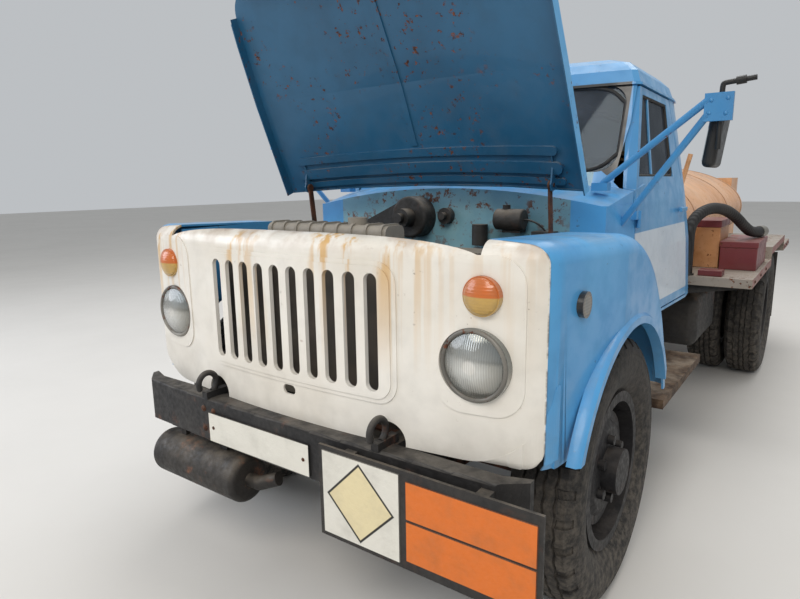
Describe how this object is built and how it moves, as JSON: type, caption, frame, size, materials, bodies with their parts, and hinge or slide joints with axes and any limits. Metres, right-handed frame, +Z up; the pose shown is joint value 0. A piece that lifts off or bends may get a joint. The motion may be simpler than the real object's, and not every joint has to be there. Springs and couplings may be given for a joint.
{
  "type": "tanker truck",
  "caption": "Light bonneted fuel tanker truck with an open hood, two-door cab, elliptical tank, side decks and a rear pump cabinet.",
  "frame": {"origin": "centre of the truck's outline on the ground, below its middle", "axes": "+X to the vehicle's left, +Y rearwards, +Z up; the front faces -Y"},
  "size_m": [2.4078, 5.678, 2.3019],
  "materials": {
    "chassis_black": "worn satin paint",
    "cast_iron": "rusty cast",
    "body_blue": "old gloss enamel",
    "nose_cream": "old gloss enamel",
    "bumper_black": "worn paint",
    "muffler_black": "sooty paint with rust",
    "plate_white": "enamel plate",
    "lamp_glass": "fluted glass",
    "lamp_orange": "moulded lens",
    "lamp_red": "moulded lens",
    "window_glass": "float glass",
    "engine_grey": "oily cast",
    "radiator_grey": "dusty paint",
    "unit_black": "dusty paint",
    "seat_brown": "worn leathercloth",
    "dash_blue": "satin paint",
    "wheel_black": "dusty paint",
    "tyre": "dusty tread",
    "hose_rubber": "matt",
    "tank_tan": "faded enamel",
    "deck_grey": "worn plate",
    "box_red": "old paint",
    "flap_rubber": "matt",
    "mirror_black": "moulded",
    "rim_black": "moulded"
  },
  "bodies": {
    "chassis": {"frame_rails": "chassis_black", "crossmembers": "chassis_black", "front_axle": "cast_iron", "leaf_springs": "cast_iron", "rear_axle": "cast_iron", "bumper": "bumper_black", "sign_board": "plate_white", "muffler": "muffler_black", "headlamps": "lamp_glass", "signal_lamps": "lamp_orange", "cowl": "body_blue", "cab_shell": "body_blue", "cab_glass": "window_glass", "nose_panel": "nose_cream", "fender_left": "body_blue", "fender_right": "body_blue", "engine_block": "engine_grey", "radiator": "radiator_grey", "firewall_units": "unit_black", "bench_seat": "seat_brown", "dashboard": "dash_blue", "running_boards": "chassis_black", "mirrors": "body_blue", "mirror_heads": "rim_black", "tank": "tank_tan", "tank_bearers": "chassis_black", "tank_fittings": "tank_tan", "hose": "hose_rubber", "hose_coupling": "hose_rubber", "side_decks": "deck_grey", "deck_boxes": "box_red", "rear_cabinet": "body_blue", "manifold": "cast_iron", "mudflaps": "flap_rubber", "rear_bumper": "bumper_black", "tail_lamps": "lamp_red", "fuel_tank": "chassis_black"},
    "hood_links": {"hood_links": "cast_iron"},
    "hood": {"hood_panel": "body_blue"},
    "door_left": {"door_left": "body_blue", "door_glass_left": "window_glass"},
    "door_right": {"door_right": "body_blue", "door_glass_right": "window_glass"},
    "knuckle_left": {"knuckle_left": "cast_iron"},
    "knuckle_right": {"knuckle_right": "cast_iron"},
    "tie_rod": {"tie_rod": "cast_iron"},
    "front_wheel_left": {"tyre_front_left": "tyre", "wheel_front_left": "wheel_black"},
    "front_wheel_right": {"tyre_front_right": "tyre", "wheel_front_right": "wheel_black"},
    "rear_wheels_left": {"tyres_rear_left": "tyre", "wheels_rear_left": "wheel_black"},
    "rear_wheels_right": {"tyres_rear_right": "tyre", "wheels_rear_right": "wheel_black"},
    "steering_wheel": {"steering_wheel": "rim_black"},
    "manhole_lid": {"manhole_lid": "tank_tan"},
    "cabinet_door_left": {"cabinet_door_left": "body_blue"},
    "cabinet_door_right": {"cabinet_door_right": "body_blue"}
  },
  "joints": [
    {"name": "hood_link_swing", "type": "hinge", "parent": "chassis", "child": "hood_links", "pos_m": [0, -1.96628, 1.28987], "axis": [-1, 0, 0], "range_deg": [0, 66.73]},
    {"name": "hood_shut", "type": "hinge", "parent": "hood_links", "child": "hood", "pos_m": [0, -1.98934, 1.48418], "axis": [1, 0, 0], "range_deg": [0, 135.73]},
    {"name": "door_left_swing", "type": "hinge", "parent": "chassis", "child": "door_left", "pos_m": [0.792, -1.479, 1.2], "axis": [0, 0, -1], "range_deg": [0, 70]},
    {"name": "door_right_swing", "type": "hinge", "parent": "chassis", "child": "door_right", "pos_m": [-0.792, -1.479, 1.2], "axis": [0, 0, 1], "range_deg": [0, 70]},
    {"name": "steer_left", "type": "hinge", "parent": "chassis", "child": "knuckle_left", "pos_m": [0.7, -2.061, 0.48], "axis": [0, 0, 1], "range_deg": [-32, 32]},
    {"name": "steer_right", "type": "hinge", "parent": "chassis", "child": "knuckle_right", "pos_m": [-0.7, -2.061, 0.48], "axis": [0, 0, 1], "range_deg": [-32, 32]},
    {"name": "tie_rod_turn", "type": "hinge", "parent": "knuckle_left", "child": "tie_rod", "pos_m": [0.7, -1.886, 0.388], "axis": [0, 0, 1], "range_deg": [-32, 32]},
    {"name": "front_wheel_left_spin", "type": "hinge", "parent": "knuckle_left", "child": "front_wheel_left", "pos_m": [0.815, -2.061, 0.48], "axis": [1, 0, 0], "continuous": true},
    {"name": "front_wheel_right_spin", "type": "hinge", "parent": "knuckle_right", "child": "front_wheel_right", "pos_m": [-0.815, -2.061, 0.48], "axis": [1, 0, 0], "continuous": true},
    {"name": "rear_wheels_left_spin", "type": "hinge", "parent": "chassis", "child": "rear_wheels_left", "pos_m": [0.845, 1.239, 0.48], "axis": [1, 0, 0], "continuous": true},
    {"name": "rear_wheels_right_spin", "type": "hinge", "parent": "chassis", "child": "rear_wheels_right", "pos_m": [-0.845, 1.239, 0.48], "axis": [1, 0, 0], "continuous": true},
    {"name": "steering_wheel_turn", "type": "hinge", "parent": "chassis", "child": "steering_wheel", "pos_m": [0.36, -1.241, 1.4], "axis": [0, 0.5478, 0.8366], "range_deg": [-580, 580]},
    {"name": "manhole_lid_swing", "type": "hinge", "parent": "chassis", "child": "manhole_lid", "pos_m": [0, 1.244, 1.689], "axis": [-1, 0, 0], "range_deg": [0, 105]},
    {"name": "cabinet_door_left_swing", "type": "hinge", "parent": "chassis", "child": "cabinet_door_left", "pos_m": [0.597, 2.796, 1.15], "axis": [0, 0, -1], "range_deg": [0, 110]},
    {"name": "cabinet_door_right_swing", "type": "hinge", "parent": "chassis", "child": "cabinet_door_right", "pos_m": [-0.597, 2.796, 1.15], "axis": [0, 0, 1], "range_deg": [0, 110]}
  ],
  "couplings": [
    {"joint": "hood_link_swing", "follows": "hood_shut", "ratio": 0.49165},
    {"joint": "steer_right", "follows": "steer_left", "ratio": 1},
    {"joint": "tie_rod_turn", "follows": "steer_left", "ratio": -1},
    {"joint": "steering_wheel_turn", "follows": "steer_left", "ratio": 18}
  ]
}
